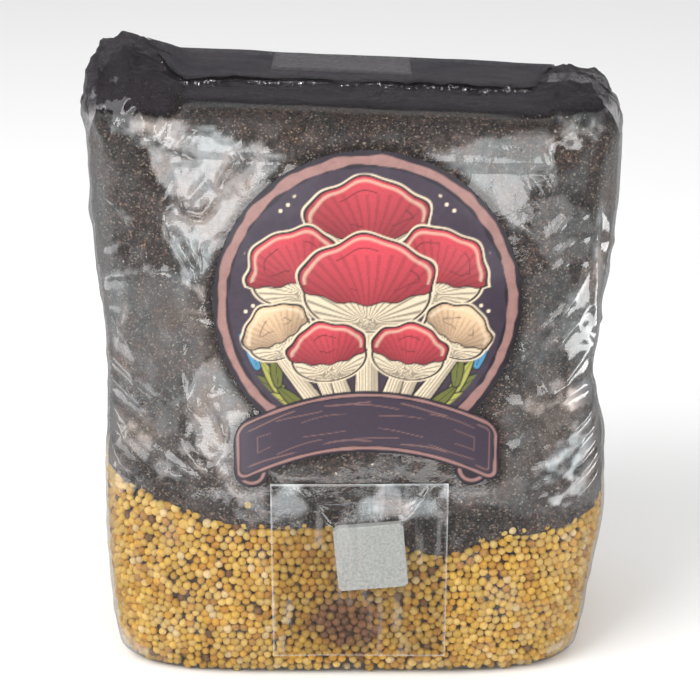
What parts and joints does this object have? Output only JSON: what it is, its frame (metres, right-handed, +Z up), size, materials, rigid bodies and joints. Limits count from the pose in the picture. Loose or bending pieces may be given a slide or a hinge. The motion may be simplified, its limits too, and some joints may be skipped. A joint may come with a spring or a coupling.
{
  "type": "mushroom grow bag",
  "caption": "Clear film bag of grain under dark compost, standing on its base, with a round label, a patched injection port and a folded top with a breather patch.",
  "frame": {"origin": "middle of the flat base, on the surface that the bag stands on", "axes": "+Z up, -Y out of the front with the label, +X to the right seen from the front"},
  "size_m": [0.1839, 0.1208, 0.2208],
  "materials": {
    "film": "clear, glossy, creased",
    "grain": "matte golden millet, a little moist",
    "compost": "matte, crumbly, dark, with pale flecks",
    "label": "satin printed vinyl",
    "port": "matte light grey foam rubber",
    "patch": "clear adhesive film",
    "filter": "matte non-woven, white"
  },
  "bodies": {
    "root": {"film_bag": "film", "grain_bed": "grain", "compost_block": "compost", "front_label": "label", "injection_port": "port", "port_patch": "patch", "filter_patch": "filter"}
  },
  "joints": []
}
